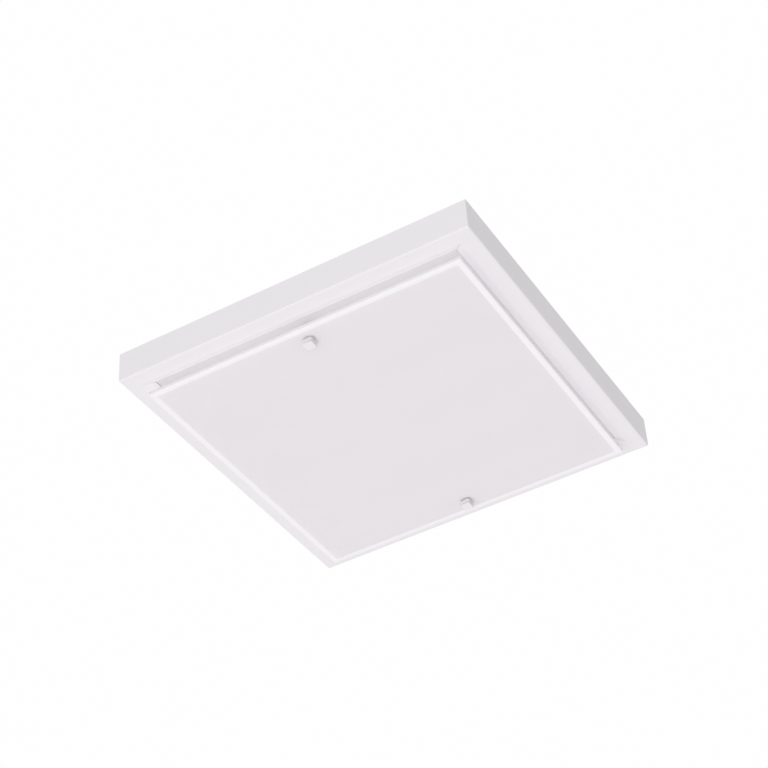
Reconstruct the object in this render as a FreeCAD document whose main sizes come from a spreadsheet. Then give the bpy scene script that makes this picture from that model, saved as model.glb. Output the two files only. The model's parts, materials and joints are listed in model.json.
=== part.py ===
import FreeCAD, Part
import math
import os
import re

import Sketcher

# Square flush mount ceiling light with a floating glass plate held by two knobs.
# Millimetres. The origin is the centre of the ceiling side of the housing, +Z points up
# to the ceiling, and the light hangs towards -Z. -Y is the front edge, +X the right one.

SIZES = {
    # housing: a folded sheet pan with an inward flange and a sloped lip round its opening
    "body_width": 400.0,
    "body_depth": 35.5,
    "sheet": 1.0,
    "edge_radius": 1.0,
    "flange_width": 17.2,
    "lip_run": 9.2,
    "lip_angle": 30.0,
    "slot_inset": 80.0,
    "slot_length": 12.0,
    "slot_width": 5.0,
    "entry_diameter": 20.0,
    # glass plate and what hangs it
    "glass_margin": 21.5,
    "glass_thickness": 4.0,
    "glass_gap": 9.2,
    "glass_edge_bevel": 0.5,
    "glass_hole_diameter": 9.0,
    "post_inset": 19.0,
    "post_diameter": 8.0,
    "post_thread": 5.0,
    "thread_reach": 5.0,
    "spigot_diameter": 5.5,
    "washer_diameter": 9.5,
    "washer_thickness": 1.0,
    "knob_width": 10.4,
    "knob_collar": 0.6,
    "knob_collar_diameter": 8.6,
    "knob_block": 3.2,
    "knob_groove": 0.8,
    "knob_groove_depth": 0.9,
    "knob_plate": 2.4,
    "knob_bevel": 0.4,
    "knob_cap": 1.0,
    # clearances
    "running_fit": 0.07,
    "press_fit": 0.02,
    "hole_fit": 0.25,
    "screw_fit": 0.05,
    # gear tray, the white inner plate that carries the light boards
    "tray_gap": 0.4,
    "tray_sheet": 0.8,
    "tray_level": 29.4,
    "tray_rim": 9.0,
    "tray_post_hole": 9.0,
    "standoff_inset": 22.0,
    "standoff_diameter": 7.0,
    "standoff_bore_depth": 10.0,
    "tray_screw": 4.0,
    "tray_screw_length": 8.0,
    "tray_screw_head": 7.5,
    "tray_screw_head_height": 2.5,
    # light boards
    "board_inset": 22.0,
    "board_width": 22.0,
    "board_thickness": 1.5,
    "chip_length": 3.5,
    "chip_width": 2.8,
    "chip_height": 0.8,
    "chip_inset": 24.0,
    "small_screw": 3.0,
    "small_head": 5.5,
    "small_head_height": 1.8,
    "board_screw_length": 5.0,
    "board_screw_inset": 7.0,
    "plug_length": 5.0,
    "plug_width": 7.0,
    "plug_height": 3.5,
    "plug_inset": 10.0,
    # driver
    "driver_x": -20.0,
    "driver_y": -80.0,
    "driver_length": 120.0,
    "driver_width": 42.0,
    "driver_height": 21.5,
    "driver_wall": 1.8,
    "driver_ear": 12.0,
    "driver_ear_thickness": 2.5,
    "driver_lip": 6.0,
    "driver_board_thickness": 1.6,
    # terminal block and earth point
    "terminal_x": 96.0,
    "terminal_y": 0.0,
    "terminal_pitch": 12.0,
    "terminal_depth": 22.0,
    "terminal_height": 16.0,
    "terminal_port_depth": 3.0,
    "clamp_screw_offset": 6.0,
    "clamp_screw_depth": 5.0,
    "clamp_screw_bore": 4.2,
    "clamp_screw": 3.6,
    "earth_y": -50.0,
    "earth_stud": 4.0,
    "earth_stud_length": 12.0,
    "earth_tag_thickness": 0.8,
    "earth_tag_diameter": 9.0,
    "earth_tag_length": 9.0,
    "earth_tag_height": 3.2,
    "earth_washer_diameter": 8.0,
    "earth_washer_thickness": 0.8,
    "earth_nut_width": 7.0,
    "earth_nut_height": 3.2,
    # leads inside the housing
    "lead_diameter": 2.2,
    "lead_level": 10.0,
    "lead_bend": 12.0,
    "light_lead_diameter": 1.6,
    "light_lead_bend": 5.0,
    "lead_pitch": 12.0,
    "light_lead_pitch": 4.0,
    "jumper_pitch": 3.0,
    "tray_bush_bore": 8.0,
    "tray_bush_wall": 1.5,
    "tray_bush_flange": 1.2,
}

# Fixed counts: rows of light boards, lights on each board, and terminal poles.
BOARD_COUNT = 4
CHIPS_PER_BOARD = 10
TERMINAL_POLES = 3

# Sizes and levels that follow from the ones above. Levels are depths below the ceiling.
DERIVED = {
    "lip_rise": "lip_run * tan(lip_angle * 1 deg)",
    "lip_skin": "sheet / cos(lip_angle * 1 deg)",
    "crease": "body_width / 2 - flange_width",
    "opening_width": "body_width - 2 * flange_width - 2 * lip_run",
    "slot_spacing": "body_width - 2 * slot_inset",
    "glass_width": "body_width - 2 * glass_margin",
    "glass_top": "body_depth + glass_gap",
    "glass_face": "glass_top + glass_thickness",
    "post_spacing": "glass_width - 2 * post_inset",
    "shoulder": "glass_top - washer_thickness",
    "knob_foot": "glass_face + washer_thickness",
    "knob_top": "knob_collar + knob_block",
    "knob_height": "knob_top + knob_groove + knob_plate",
    "thread_bore": "post_thread + 2 * running_fit",
    "tray_width": "opening_width - 2 * tray_gap",
    "tray_top": "tray_level - tray_sheet",
    "standoff_spacing": "tray_width - 2 * standoff_inset",
    "board_length": "tray_width - 2 * board_inset",
    "board_spacing": "tray_width / %d" % BOARD_COUNT,
    "board_face": "tray_level + board_thickness",
    "chip_spacing": "(board_length - 2 * chip_inset) / %d" % (CHIPS_PER_BOARD - 1),
    "board_screw_spacing": "board_length - 2 * board_screw_inset",
    "plug_offset": "board_length / 2 - plug_inset",
    "plug_level": "board_face + plug_height / 2",
    "driver_reach": "driver_length / 2 - driver_wall",
    "driver_ear_reach": "(driver_length + driver_ear) / 2",
    "driver_floor": "sheet + driver_ear_thickness",
    "driver_top": "sheet + driver_height",
    "terminal_foot": "sheet + terminal_height",
    "earth_nut_level": "sheet + earth_tag_thickness + earth_washer_thickness",
}

doc = FreeCAD.newDocument("ceiling_light")
sheet = doc.addObject("Spreadsheet::Sheet", "Sizes")
for row, (alias, value) in enumerate(SIZES.items(), start=1):
    sheet.set("A%d" % row, alias)
    sheet.set("B%d" % row, str(value))
    sheet.setAlias("B%d" % row, alias)
doc.recompute()
worked_out = doc.addObject("App::VarSet", "Derived")

nodes = []


def ref(text):
    """Turn the size names in a formula into references to the sheet."""
    def link(match):
        word = match.group(0)
        if word in SIZES:
            return "Sizes." + word
        return "Derived." + word if word in DERIVED else word
    return re.sub(r"[A-Za-z_][A-Za-z0-9_]*", link, text)


def size(name):
    return float(sheet.get(name) if name in SIZES else getattr(worked_out, name))


def bind(item, formulas):
    for prop, formula in formulas.items():
        item.setExpression(prop, ref(formula))
    return item


def place(item, at):
    bind(item, {"Placement.Base." + axis: formula for axis, formula in zip("xyz", at)})
    return item


for name, formula in DERIVED.items():
    worked_out.addProperty("App::PropertyFloat", name)
    worked_out.setExpression(name, ref(formula))
doc.recompute()


def as_node(item, label):
    item.Label = label
    nodes.append(item)
    return item


def new_body(label):
    return as_node(doc.addObject("PartDesign::Body", label), label)


def new_sketch(body, name, role="XY_Plane", level=None):
    sketch = body.newObject("Sketcher::SketchObject", name)
    plane = [item for item in body.Origin.OriginFeatures if item.Role == role][0]
    sketch.AttachmentSupport = [(plane, "")]
    sketch.MapMode = "FlatFace"
    if level:
        sketch.setExpression("AttachmentOffset.Base.z", ref(level))
    return sketch


def fix_point(sketch, curve, end, x, y):
    """Hold one point of a curve at (x, y), each a formula."""
    for kind, value, axis in (("DistanceX", x, -2), ("DistanceY", y, -1)):
        if value == "0":
            sketch.addConstraint(Sketcher.Constraint("PointOnObject", curve, end, axis))
            continue
        here = getattr(sketch.getPoint(curve, end), "x" if kind == "DistanceX" else "y")
        index = sketch.addConstraint(Sketcher.Constraint(kind, -1, 1, curve, end, here))
        sketch.setExpression("Constraints[%d]" % index, ref(value))


def polygon(sketch, points):
    """Closed outline through points given as formulas."""
    count = len(points)
    corners = [FreeCAD.Vector(20 * math.cos(2 * math.pi * i / count),
                              20 * math.sin(2 * math.pi * i / count), 0) for i in range(count)]
    first = sketch.GeometryCount
    for i in range(count):
        sketch.addGeometry(Part.LineSegment(corners[i], corners[(i + 1) % count]), False)
    for i in range(count):
        sketch.addConstraint(Sketcher.Constraint("Coincident", first + i, 2,
                                                 first + (i + 1) % count, 1))
        fix_point(sketch, first + i, 1, *points[i])


def rectangle(sketch, width, depth, x="0", y="0"):
    polygon(sketch, [("%s - (%s) / 2" % (x, width), "%s - (%s) / 2" % (y, depth)),
                     ("%s + (%s) / 2" % (x, width), "%s - (%s) / 2" % (y, depth)),
                     ("%s + (%s) / 2" % (x, width), "%s + (%s) / 2" % (y, depth)),
                     ("%s - (%s) / 2" % (x, width), "%s + (%s) / 2" % (y, depth))])


def circle(sketch, diameter, x="0", y="0"):
    curve = sketch.addGeometry(Part.Circle(FreeCAD.Vector(5, 5, 0), FreeCAD.Vector(0, 0, 1), 2), False)
    fix_point(sketch, curve, 3, x, y)
    index = sketch.addConstraint(Sketcher.Constraint("Diameter", curve, 4.0))
    sketch.setExpression("Constraints[%d]" % index, ref(diameter))


def slot(sketch, length, width, spacing, x_sign, y_sign):
    """Slot along X with round ends, at one corner of a square pattern of slots."""
    up = FreeCAD.Vector(0, 0, 1)
    radius = size(width) / 2
    half = size(length) / 2 - radius
    centre = FreeCAD.Vector(float(x_sign + "1"), float(y_sign + "1"), 0) * (size(spacing) / 2)
    x, y = x_sign + spacing + " / 2", y_sign + spacing + " / 2"
    reach = "(%s - %s) / 2" % (length, width)
    east, west = "%s + %s" % (x, reach), "%s - %s" % (x, reach)
    lines = []
    for sign, side in (("+", radius), ("-", -radius)):
        line = sketch.addGeometry(Part.LineSegment(centre + FreeCAD.Vector(-half, side, 0),
                                                   centre + FreeCAD.Vector(half, side, 0)), False)
        fix_point(sketch, line, 1, west, "%s %s %s / 2" % (y, sign, width))
        fix_point(sketch, line, 2, east, "%s %s %s / 2" % (y, sign, width))
        lines.append(line)
    for middle, side, line_end, turn, first, last in (
            (east, half, 2, -math.pi / 2, lines[1], lines[0]),
            (west, -half, 1, math.pi / 2, lines[0], lines[1])):
        round_end = Part.Circle(centre + FreeCAD.Vector(side, 0, 0), up, radius)
        arc = sketch.addGeometry(Part.ArcOfCircle(round_end, turn, turn + math.pi), False)
        sketch.addConstraint(Sketcher.Constraint("Coincident", arc, 1, first, line_end))
        sketch.addConstraint(Sketcher.Constraint("Coincident", arc, 2, last, line_end))
        index = sketch.addConstraint(Sketcher.Constraint("DistanceX", -1, 1, arc, 3, centre.x + side))
        sketch.setExpression("Constraints[%d]" % index, ref(middle))


def pad(body, sketch, length, down=True):
    feature = body.newObject("PartDesign::Pad", sketch.Name + "_pad")
    feature.Profile = sketch
    feature.Reversed = down
    feature.setExpression("Length", ref(length))
    return feature


def pocket(body, sketch, length, down=True):
    """Cut towards -Z, or towards +Z with down=False; a cut that removes nothing is an error."""
    doc.recompute()
    before = body.Shape.Volume
    feature = body.newObject("PartDesign::Pocket", sketch.Name + "_pocket")
    feature.Profile = sketch
    feature.Reversed = not down
    feature.setExpression("Length", ref(length))
    doc.recompute()
    if body.Shape.Volume > before - 1e-6:
        raise RuntimeError(sketch.Name + " cuts nothing")
    return feature


def loft(body, kind, lower, upper):
    feature = body.newObject(kind, lower.Name + "_loft")
    feature.Profile = lower
    feature.Sections = [upper]
    feature.Ruled = True
    return feature


def turned(body, name, points):
    """Body turned about Z from an outline in the XZ plane."""
    sketch = new_sketch(body, name, "XZ_Plane")
    polygon(sketch, points)
    feature = body.newObject("PartDesign::Revolution", name + "_turn")
    feature.Profile = sketch
    feature.ReferenceAxis = (sketch, ["V_Axis"])
    feature.Angle = 360
    return feature


def tube(name, outer, inner, height, at):
    """Ring: a cylinder with a bore, its foot at `at`."""
    rod = place(bind(doc.addObject("Part::Cylinder", name + "_rod"),
                     {"Radius": "(%s) / 2" % outer, "Height": height}), at)
    bore = place(bind(doc.addObject("Part::Cylinder", name + "_bore"),
                      {"Radius": "(%s) / 2" % inner, "Height": height}), at)
    ring = doc.addObject("Part::Cut", name)
    ring.Base = rod
    ring.Tool = bore
    return ring


def block(name, length, width, height, at):
    """Box centred on `at` in X and Y with its foot at z."""
    item = bind(doc.addObject("Part::Box", name), {"Length": length, "Width": width, "Height": height})
    x, y, z = at
    return place(item, ("%s - (%s) / 2" % (x, length), "%s - (%s) / 2" % (y, width), z))


def screw(name, thread, length, head, head_height, at):
    """Screw driven upwards from below: `at` is the underside of its seat, the head hangs below."""
    x, y, seat = at
    shank = place(bind(doc.addObject("Part::Cylinder", name + "_shank"),
                       {"Radius": "%s / 2" % thread, "Height": length}), (x, y, seat))
    cap = place(bind(doc.addObject("Part::Cylinder", name + "_cap"),
                     {"Radius": "%s / 2" % head, "Height": head_height}),
                (x, y, "%s - %s" % (seat, head_height)))
    whole = doc.addObject("Part::MultiFuse", name)
    whole.Shapes = [cap, shank]
    return whole


def group(label, members):
    """One node that holds identical pieces as separate solids."""
    item = doc.addObject("Part::Compound", label)
    item.Links = members
    return as_node(item, label)


def cut_from(label, base, tools):
    """Base with the tools taken out of it, as a node."""
    hole_set = doc.addObject("Part::Compound", label + "_tools")
    hole_set.Links = tools
    item = doc.addObject("Part::Cut", label)
    item.Base = base
    item.Tool = hole_set
    return as_node(item, label)


def corner_places(spacing):
    half = "%s / 2" % spacing
    return [(sx + half, sy + half) for sx in ("-", "") for sy in ("-", "")]


def board_rows():
    """Y of each light board, from front to rear."""
    return ["board_spacing * %s" % (i - (BOARD_COUNT - 1) / 2) for i in range(BOARD_COUNT)]


def rod_hole(name, diameter, height, at):
    return place(bind(doc.addObject("Part::Cylinder", name),
                      {"Radius": "(%s) / 2" % diameter, "Height": height}), at)


POST_ROWS = {"front": "-post_spacing / 2", "rear": "post_spacing / 2"}
TERMINAL_POLE_X = ["terminal_x + terminal_pitch * %d" % (i - 1) for i in range(TERMINAL_POLES)]


def make_housing():
    """Folded pan: back, four walls, inward flange and the sloped lip of the opening."""
    body = new_body("housing")
    outline = new_sketch(body, "housing_outline")
    rectangle(outline, "body_width", "body_width")
    pad(body, outline, "body_depth")
    doc.recompute()
    upright = []
    for number, edge in enumerate(body.Shape.Edges, start=1):
        if abs(edge.BoundBox.ZLength - size("body_depth")) < 1e-6:
            upright.append("Edge%d" % number)
    solid = body.Tip
    rounding = body.newObject("PartDesign::Fillet", "housing_corners")
    rounding.Base = (solid, upright)
    rounding.setExpression("Radius", ref("edge_radius"))
    cavity = new_sketch(body, "housing_cavity", level="-sheet")
    rectangle(cavity, "body_width - 2 * sheet", "body_width - 2 * sheet")
    pocket(body, cavity, "body_depth - 2 * sheet")
    # the lip starts where its inner skin leaves the flange's inner face
    foot = new_sketch(body, "lip_foot", level="-body_depth + sheet")
    foot_width = "2 * crease + 2 * (lip_skin - sheet) / tan(lip_angle * 1 deg)"
    rectangle(foot, foot_width, foot_width)
    top = new_sketch(body, "lip_top", level="-body_depth + lip_rise + lip_skin")
    rectangle(top, "opening_width", "opening_width")
    loft(body, "PartDesign::AdditiveLoft", foot, top)
    mouth = new_sketch(body, "mouth_outer", level="-body_depth")
    rectangle(mouth, "2 * crease", "2 * crease")
    throat = new_sketch(body, "mouth_inner", level="-body_depth + lip_rise")
    rectangle(throat, "opening_width", "opening_width")
    loft(body, "PartDesign::SubtractiveLoft", mouth, throat)
    opening = new_sketch(body, "opening", level="-body_depth + lip_rise")
    rectangle(opening, "opening_width", "opening_width")
    pocket(body, opening, "lip_skin", down=False)
    holes = new_sketch(body, "back_holes")
    circle(holes, "entry_diameter")
    for x, y in corner_places("standoff_spacing"):
        circle(holes, "spigot_diameter", x, y)
    for y in POST_ROWS.values():
        circle(holes, "spigot_diameter", "0", y)
    for side in ("-", "+"):
        circle(holes, "small_screw", "driver_x %s driver_ear_reach" % side, "driver_y")
    circle(holes, "small_screw", "terminal_x", "terminal_y")
    circle(holes, "earth_stud", "terminal_x", "earth_y")
    pocket(body, holes, "sheet")
    slots = new_sketch(body, "ceiling_slots")
    for x_sign in ("-", "+"):
        for y_sign in ("-", "+"):
            slot(slots, "slot_length", "slot_width", "slot_spacing", x_sign, y_sign)
    pocket(body, slots, "sheet")


def make_entry_bush():
    """Snap-in bush that lines the cable entry; its flange is inside the housing."""
    body = new_body("cable_entry_bush")
    bore = "entry_diameter / 2 - 3"
    neck = "entry_diameter / 2 - press_fit"
    rim = "entry_diameter / 2 + 2.5"
    turned(body, "entry_profile", [(bore, "-sheet - 2"), (rim, "-sheet - 2"), (rim, "-sheet"),
                                   (neck, "-sheet"), (neck, "0"), (bore, "0")])


def make_posts():
    """Turned posts riveted in the back; the glass hangs on the thread below the shoulder."""
    for side, y in POST_ROWS.items():
        body = new_body("glass_post_" + side)
        spigot = "spigot_diameter / 2 - press_fit"
        turned(body, "post_profile_" + side,
               [("0", "0"), (spigot, "0"), (spigot, "-sheet"), ("post_diameter / 2", "-sheet"),
                ("post_diameter / 2", "-shoulder"), ("post_thread / 2", "-shoulder"),
                ("post_thread / 2", "-knob_foot - thread_reach"), ("0", "-knob_foot - thread_reach")])
        place(body, ("0", y, "0"))


def make_glass():
    """Glass plate with a small bevel round its outer face and two holes."""
    body = new_body("glass_diffuser")
    outline = new_sketch(body, "glass_outline", level="-glass_top")
    rectangle(outline, "glass_width", "glass_width")
    pad(body, outline, "glass_thickness")
    doc.recompute()
    rim = []
    for number, edge in enumerate(body.Shape.Edges, start=1):
        if abs(edge.BoundBox.ZMax + size("glass_face")) < 1e-5:
            rim.append("Edge%d" % number)
    plate = body.Tip
    bevel = body.newObject("PartDesign::Chamfer", "glass_bevel")
    bevel.Base = (plate, rim)
    bevel.setExpression("Size", ref("glass_edge_bevel"))
    holes = new_sketch(body, "glass_holes", level="-glass_top")
    for y in POST_ROWS.values():
        circle(holes, "glass_hole_diameter", "0", y)
    pocket(body, holes, "glass_thickness")


def make_glass_seats():
    """Soft washers above and below the glass and the bushes that line its holes."""
    above = [tube("upper_washer_" + side, "washer_diameter", "thread_bore", "washer_thickness",
                  ("0", y, "-glass_top")) for side, y in POST_ROWS.items()]
    group("upper_washers", above)
    below = [tube("lower_washer_" + side, "washer_diameter", "thread_bore", "washer_thickness",
                  ("0", y, "-knob_foot")) for side, y in POST_ROWS.items()]
    group("lower_washers", below)
    lining = [tube("glass_bush_" + side, "glass_hole_diameter - 2 * hole_fit", "thread_bore",
                   "glass_thickness", ("0", y, "-glass_face")) for side, y in POST_ROWS.items()]
    group("glass_bushes", lining)


def make_knob(side, y):
    """Square knob: round collar, block, narrow neck and face plate, with a blind threaded bore."""
    body = new_body("knob_" + side)
    collar = new_sketch(body, "knob_collar_" + side)
    circle(collar, "knob_collar_diameter")
    pad(body, collar, "knob_collar")
    base = new_sketch(body, "knob_block_" + side, level="-knob_collar")
    rectangle(base, "knob_width", "knob_width")
    pad(body, base, "knob_block")
    neck = new_sketch(body, "knob_neck_" + side, level="-knob_top")
    rectangle(neck, "knob_width - 2 * knob_groove_depth", "knob_width - 2 * knob_groove_depth")
    pad(body, neck, "knob_groove")
    plate = new_sketch(body, "knob_plate_" + side, level="-knob_top - knob_groove")
    rectangle(plate, "knob_width", "knob_width")
    pad(body, plate, "knob_plate")
    doc.recompute()
    rim = []
    for number, edge in enumerate(body.Shape.Edges, start=1):
        if abs(edge.BoundBox.ZMax + size("knob_height")) < 1e-5:
            rim.append("Edge%d" % number)
    solid = body.Tip
    bevel = body.newObject("PartDesign::Chamfer", "knob_bevel_" + side)
    bevel.Base = (solid, rim)
    bevel.setExpression("Size", ref("knob_bevel"))
    bore = new_sketch(body, "knob_bore_" + side)
    circle(bore, "thread_bore")
    pocket(body, bore, "knob_height - knob_cap")
    place(body, ("0", y, "-knob_foot"))


def make_standoffs():
    """Riveted standoffs that carry the gear tray, and its four screws."""
    pieces = []
    for number, (x, y) in enumerate(corner_places("standoff_spacing"), start=1):
        shank = rod_hole("standoff_shank_%d" % number, "standoff_diameter", "tray_top - sheet",
                         (x, y, "-tray_top"))
        spigot = rod_hole("standoff_spigot_%d" % number, "spigot_diameter - 2 * press_fit", "sheet",
                          (x, y, "-sheet"))
        solid = doc.addObject("Part::MultiFuse", "standoff_rod_%d" % number)
        solid.Shapes = [shank, spigot]
        bore = rod_hole("standoff_bore_%d" % number, "tray_screw + 2 * screw_fit",
                        "standoff_bore_depth", (x, y, "-tray_top"))
        piece = doc.addObject("Part::Cut", "standoff_%d" % number)
        piece.Base = solid
        piece.Tool = bore
        pieces.append(piece)
    group("tray_standoffs", pieces)
    group("tray_screws", [screw("tray_screw_%d" % number, "tray_screw", "tray_screw_length",
                                "tray_screw_head", "tray_screw_head_height", (x, y, "-tray_level"))
                          for number, (x, y) in enumerate(corner_places("standoff_spacing"), start=1)])


def board_screw_places():
    return [(side + "board_screw_spacing / 2", y) for y in board_rows() for side in ("-", "")]


def make_tray():
    """White gear tray: a flat plate with its rims folded up towards the ceiling."""
    body = new_body("gear_tray")
    outline = new_sketch(body, "tray_outline", level="-tray_level")
    rectangle(outline, "tray_width", "tray_width")
    pad(body, outline, "tray_rim", down=False)
    hollow = new_sketch(body, "tray_hollow", level="-tray_level + tray_sheet")
    rectangle(hollow, "tray_width - 2 * tray_sheet", "tray_width - 2 * tray_sheet")
    pocket(body, hollow, "tray_rim - tray_sheet", down=False)
    holes = new_sketch(body, "tray_holes", level="-tray_level")
    for x, y in corner_places("standoff_spacing"):
        circle(holes, "tray_screw + 2 * hole_fit", x, y)
    for y in POST_ROWS.values():
        circle(holes, "tray_post_hole", "0", y)
    for x, y in board_screw_places():
        circle(holes, "small_screw + 2 * screw_fit", x, y)
    circle(holes, "tray_bush_bore + 2 * tray_bush_wall", "-plug_offset", "driver_y - light_lead_pitch")
    pocket(body, holes, "tray_sheet", down=False)


def make_tray_bush():
    """Bush that keeps the light leads off the edge of their hole in the tray."""
    at = ("-plug_offset", "driver_y - light_lead_pitch", "-tray_top")
    neck = tube("tray_bush_neck", "tray_bush_bore + 2 * tray_bush_wall - 2 * press_fit",
                "tray_bush_bore", "tray_sheet", (at[0], at[1], "-tray_level"))
    flange = tube("tray_bush_flange_ring", "tray_bush_bore + 4 * tray_bush_wall", "tray_bush_bore",
                  "tray_bush_flange", at)
    whole = doc.addObject("Part::MultiFuse", "tray_bush")
    whole.Shapes = [neck, flange]
    as_node(whole, "tray_bush")


def make_boards():
    """Four light boards under the tray, with their lights, plugs and screws."""
    chips = []
    plugs = []
    jumpers = []
    rows = board_rows()
    for number, y in enumerate(rows, start=1):
        body = new_body("light_board_%d" % number)
        outline = new_sketch(body, "board_outline_%d" % number)
        rectangle(outline, "board_length", "board_width")
        pad(body, outline, "board_thickness")
        holes = new_sketch(body, "board_holes_%d" % number)
        for side in ("-", ""):
            circle(holes, "small_screw + 2 * hole_fit", side + "board_screw_spacing / 2", "0")
        pocket(body, holes, "board_thickness")
        place(body, ("0", y, "-tray_level"))
        for index in range(CHIPS_PER_BOARD):
            x = "chip_spacing * %s" % (index - (CHIPS_PER_BOARD - 1) / 2)
            chips.append(block("chip_%d_%d" % (number, index + 1), "chip_length", "chip_width",
                               "chip_height", (x, y, "-board_face - chip_height")))
    # the link between two boards changes side from one pair to the next
    edge = "(board_width - plug_length) / 2"
    links = [(rows[i], rows[i + 1], "" if i % 2 == 0 else "-") for i in range(BOARD_COUNT - 1)]
    ends = [(rows[0], "-", "+")]
    for near, far, side in links:
        ends.append((near, side, "+"))
        ends.append((far, side, "-"))
    for number, (y, side, towards) in enumerate(ends, start=1):
        plugs.append(block("plug_%d" % number, "plug_width", "plug_length", "plug_height",
                           (side + "plug_offset", "%s %s %s" % (y, towards, edge),
                            "-board_face - plug_height")))
    for number, (near, far, side) in enumerate(links, start=1):
        for offset in ("-", "+"):
            wire = bind(doc.addObject("Part::Cylinder", "jumper_%d_%s" % (number, "ab"[offset == "+"])),
                        {"Radius": "light_lead_diameter / 2", "Height": "board_spacing - board_width"})
            wire.Placement.Rotation = FreeCAD.Rotation(FreeCAD.Vector(1, 0, 0), -90)
            place(wire, ("%splug_offset %s jumper_pitch / 2" % (side, offset), near + " + board_width / 2",
                         "-plug_level"))
            jumpers.append(wire)
    group("light_chips", chips)
    group("board_plugs", plugs)
    group("board_jumpers", jumpers)
    group("board_screws", [screw("board_screw_%d" % number, "small_screw", "board_screw_length",
                                 "small_head", "small_head_height", (x, y, "-board_face"))
                           for number, (x, y) in enumerate(board_screw_places(), start=1)])


def make_driver():
    """Driver that feeds the lights: base with fixing ears, cover, board and two screws."""
    x, y = "driver_x", "driver_y"
    floor_level = "-driver_floor"
    ears = block("driver_ears", "driver_length + 2 * driver_ear", "driver_width", "driver_ear_thickness",
                 (x, y, floor_level))
    step = block("driver_step", "driver_length - 2 * driver_wall - 2 * hole_fit",
                 "driver_width - 2 * driver_wall - 2 * hole_fit", "driver_lip",
                 (x, y, floor_level + " - driver_lip"))
    well = block("driver_well", "driver_length - 4 * driver_wall - 2 * hole_fit",
                 "driver_width - 4 * driver_wall - 2 * hole_fit", "driver_lip",
                 (x, y, floor_level + " - driver_lip"))
    holes = [rod_hole("driver_hole_%d" % number, "small_screw + 2 * hole_fit", "driver_ear_thickness",
                      ("%s %s driver_ear_reach" % (x, side), y, floor_level))
             for number, side in enumerate("-+", start=1)]
    solid = doc.addObject("Part::MultiFuse", "driver_base_solid")
    solid.Shapes = [ears, step]
    cut_from("driver_base", solid, [well] + holes)
    # the cover's top is the side that faces the tray
    top_level = "-driver_top"
    shell = block("driver_shell", "driver_length", "driver_width", "driver_height - driver_ear_thickness",
                  (x, y, top_level))
    inside = block("driver_inside", "driver_length - 2 * driver_wall", "driver_width - 2 * driver_wall",
                   "driver_height - driver_ear_thickness - driver_wall", (x, y, top_level + " + driver_wall"))
    leads_out = []
    for number, (side, pitch, bore) in enumerate((("+", "lead_pitch", "lead_diameter"),
                                                  ("-", "light_lead_pitch", "light_lead_diameter"))):
        for offset in ("-", "+"):
            name = "driver_lead_hole_%d_%s" % (number, "ab"[offset == "+"])
            hole = bind(doc.addObject("Part::Cylinder", name),
                        {"Radius": bore + " / 2 + hole_fit", "Height": "driver_wall"})
            hole.Placement.Rotation = FreeCAD.Rotation(FreeCAD.Vector(0, 1, 0), 90)
            inner = x + (" + driver_reach" if side == "+" else " - driver_length / 2")
            place(hole, (inner, lead_row(offset, pitch), "-lead_level"))
            leads_out.append(hole)
    cut_from("driver_cover", shell, [inside] + leads_out)
    board = block("driver_circuit_board", "driver_length - 2 * driver_wall - 2 * hole_fit",
                  "driver_width - 2 * driver_wall - 2 * hole_fit", "driver_board_thickness",
                  (x, y, floor_level + " - driver_lip - driver_board_thickness"))
    as_node(board, "driver_circuit_board")
    group("driver_screws", [screw("driver_screw_%d" % number, "(small_screw - 2 * screw_fit)",
                                  "driver_floor", "small_head", "small_head_height",
                                  ("%s %s driver_ear_reach" % (x, side), y, floor_level))
                            for number, side in enumerate("-+", start=1)])


def lead_row(offset, pitch):
    """Y of a lead where it leaves the driver."""
    if pitch == "light_lead_pitch":
        return "driver_y - light_lead_pitch %s light_lead_pitch / 2" % offset
    return "driver_y %s %s / 2" % (offset, pitch)


def make_terminal_block():
    """Three pole terminal block, its clamp screws and the screw that holds it."""
    x, y = "terminal_x", "terminal_y"
    foot = "-terminal_foot"
    body = block("terminal_body", "terminal_pitch * %d" % TERMINAL_POLES, "terminal_depth",
                 "terminal_height", (x, y, foot))
    tools = [rod_hole("terminal_centre_hole", "small_screw + 2 * hole_fit", "terminal_height",
                      (x, y, foot)),
             rod_hole("terminal_head_well", "small_head + 2 * hole_fit",
                      "terminal_height - clamp_screw_depth", (x, y, foot))]
    clamps = []
    for number, pole in enumerate(TERMINAL_POLE_X, start=1):
        for side in ("-", "+"):
            key = "%d_%s" % (number, "ab"[side == "+"])
            at = (pole, "%s %s clamp_screw_offset" % (y, side), foot)
            tools.append(rod_hole("clamp_well_" + key, "clamp_screw_bore", "clamp_screw_depth", at))
            clamps.append(rod_hole("clamp_screw_" + key, "clamp_screw", "clamp_screw_depth - 1",
                                   (at[0], at[1], foot + " + 1")))
        for face in (" - terminal_depth / 2", " + terminal_depth / 2 - terminal_port_depth"):
            port = bind(doc.addObject("Part::Cylinder", "port_%d" % number),
                        {"Radius": "lead_diameter / 2 + hole_fit", "Height": "terminal_port_depth"})
            port.Placement.Rotation = FreeCAD.Rotation(FreeCAD.Vector(1, 0, 0), -90)
            place(port, (pole, y + face, "-lead_level"))
            tools.append(port)
    cut_from("terminal_block", body, tools)
    group("terminal_clamp_screws", clamps)
    seat = foot + " + terminal_height - clamp_screw_depth"
    as_node(screw("terminal_fixing_screw", "(small_screw - 2 * screw_fit)", "clamp_screw_depth + sheet",
                  "small_head", "small_head_height", (x, y, seat)), "terminal_fixing_screw")


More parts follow.
